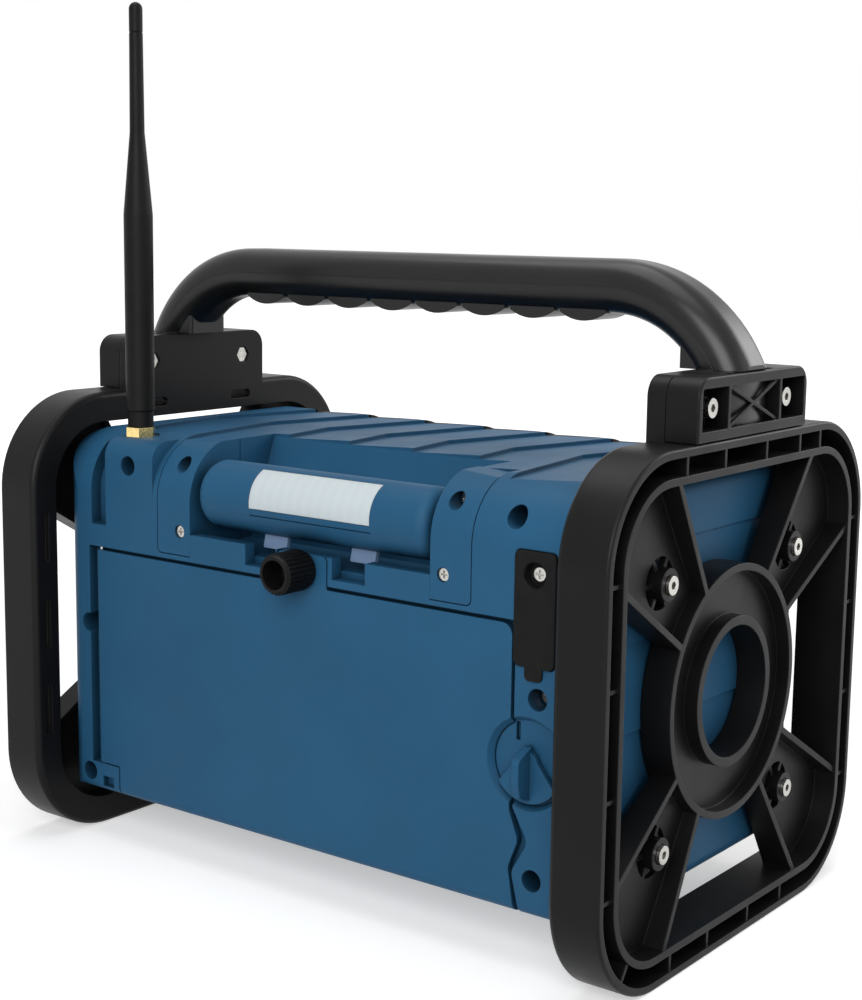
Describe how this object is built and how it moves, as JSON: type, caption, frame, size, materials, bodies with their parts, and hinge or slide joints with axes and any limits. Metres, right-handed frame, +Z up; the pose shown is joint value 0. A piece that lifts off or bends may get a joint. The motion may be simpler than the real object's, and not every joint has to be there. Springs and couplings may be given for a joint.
{
  "type": "jobsite radio",
  "caption": "Rugged jobsite radio with end guards, carrying handle, hinged rear door with thumb screw, wing latch, turning work lamp and screw-on antenna.",
  "frame": {"origin": "middle of the footprint of the two end guards, on the surface that the radio stands on", "axes": "+Z up, +Y out of the rear face with the door and the lamp, -Y out of the loudspeakers, +X towards the end with the antenna"},
  "size_m": [0.325, 0.213, 0.382],
  "materials": {
    "guard_black": "satin moulded black plastic",
    "handle_black": "satin moulded black plastic",
    "housing_blue": "fine-grained satin blue plastic",
    "front_black": "fine-grained black plastic",
    "panel_grey": "smooth dark grey plastic",
    "grille_black": "powder-coated black",
    "diffuser_white": "frosted white",
    "tab_clear": "translucent plastic",
    "display_clear": "clear plastic",
    "screw_zinc": "bright zinc",
    "pin_steel": "ground steel",
    "brass": "bright brass",
    "rubber_black": "matt rubber",
    "knob_black": "black plastic",
    "button_grey": "soft grey",
    "board_green": "coated circuit board",
    "inner_black": "plain black plastic",
    "cell_jacket": "plain jacket",
    "contact_metal": "nickel",
    "cone_paper": "pressed paper",
    "basket_metal": "painted steel"
  },
  "bodies": {
    "housing": {"guard_right": "guard_black", "guard_left": "guard_black", "guard_screws": "screw_zinc", "handle_upper_shell": "handle_black", "handle_lower_shell": "handle_black", "handle_clamp_right": "guard_black", "handle_clamp_left": "guard_black", "handle_clamp_bolts": "screw_zinc", "handle_clamp_nuts": "screw_zinc", "rear_housing": "housing_blue", "front_housing": "front_black", "housing_seal": "rubber_black", "housing_screws": "screw_zinc", "lamp_cheek_right": "housing_blue", "lamp_cheek_left": "housing_blue", "lamp_cheek_screws": "screw_zinc", "door_seal": "rubber_black", "door_hinge_pins": "pin_steel", "thumb_screw_insert": "brass", "port_cover_root": "rubber_black", "port_cover_screw": "screw_zinc", "port_sockets": "inner_black", "antenna_socket": "brass", "battery_bay": "inner_black", "battery_cells": "cell_jacket", "battery_contacts": "contact_metal", "speaker_screws": "screw_zinc", "front_panel": "panel_grey", "display_window": "display_clear", "display_module": "inner_black", "main_board": "board_green", "knob_encoders": "contact_metal", "speaker_grille_left": "grille_black", "speaker_driver_left": "basket_metal", "speaker_cone_left": "cone_paper", "speaker_grille_right": "grille_black", "speaker_driver_right": "basket_metal", "speaker_cone_right": "cone_paper"},
    "door": {"rear_door": "housing_blue"},
    "thumb": {"thumb_screw": "knob_black", "thumb_screw_clip": "pin_steel"},
    "latch": {"wing_latch": "housing_blue", "wing_latch_clip": "pin_steel"},
    "lamp": {"lamp_tube": "housing_blue", "lamp_diffuser": "diffuser_white", "lamp_led_board": "board_green", "lamp_tabs": "tab_clear"},
    "antenna": {"antenna_whip": "rubber_black"},
    "flap": {"port_cover_flap": "rubber_black"},
    "volume": {"volume_knob": "knob_black", "volume_shaft": "pin_steel"},
    "tuning": {"tuning_knob": "knob_black", "tuning_shaft": "pin_steel"},
    "button_1": {"push_button_1": "button_grey"},
    "button_2": {"push_button_2": "button_grey"},
    "button_3": {"push_button_3": "button_grey"},
    "button_4": {"push_button_4": "button_grey"},
    "button_5": {"push_button_5": "button_grey"}
  },
  "joints": [
    {"name": "door_hinge", "type": "hinge", "parent": "housing", "child": "door", "pos_m": [0.1244, 0.08, 0.088], "axis": [0, 0, -1], "range_deg": [0, 100]},
    {"name": "thumb_screw_turn", "type": "hinge", "parent": "door", "child": "thumb", "pos_m": [0.001, 0.09, 0.1454], "axis": [0, 1, 0], "continuous": true},
    {"name": "wing_latch_turn", "type": "hinge", "parent": "housing", "child": "latch", "pos_m": [-0.1135, 0.08, 0.0843], "axis": [0, 1, 0], "range_deg": [0, 90]},
    {"name": "lamp_turn", "type": "hinge", "parent": "housing", "child": "lamp", "pos_m": [0, 0.067, 0.1695], "axis": [1, 0, 0], "range_deg": [-30, 60]},
    {"name": "antenna_turn", "type": "hinge", "parent": "housing", "child": "antenna", "pos_m": [0.1105, 0.068, 0.2], "axis": [0, 0, 1], "continuous": true},
    {"name": "port_flap_bend", "type": "hinge", "parent": "housing", "child": "flap", "pos_m": [-0.1164, 0.0832, 0.1508], "axis": [1, 0, 0], "range_deg": [0, 110]},
    {"name": "volume_turn", "type": "hinge", "parent": "housing", "child": "volume", "pos_m": [-0.0205, -0.09, 0.072], "axis": [0, 1, 0], "continuous": true},
    {"name": "tuning_turn", "type": "hinge", "parent": "housing", "child": "tuning", "pos_m": [0.0205, -0.09, 0.072], "axis": [0, 1, 0], "continuous": true},
    {"name": "button_1_press", "type": "slide", "parent": "housing", "child": "button_1", "axis": [0, 1, 0], "range_m": [0, 0.0012], "stiffness_N_per_m": 500},
    {"name": "button_2_press", "type": "slide", "parent": "housing", "child": "button_2", "axis": [0, 1, 0], "range_m": [0, 0.0012], "stiffness_N_per_m": 500},
    {"name": "button_3_press", "type": "slide", "parent": "housing", "child": "button_3", "axis": [0, 1, 0], "range_m": [0, 0.0012], "stiffness_N_per_m": 500},
    {"name": "button_4_press", "type": "slide", "parent": "housing", "child": "button_4", "axis": [0, 1, 0], "range_m": [0, 0.0012], "stiffness_N_per_m": 500},
    {"name": "button_5_press", "type": "slide", "parent": "housing", "child": "button_5", "axis": [0, 1, 0], "range_m": [0, 0.0012], "stiffness_N_per_m": 500}
  ]
}
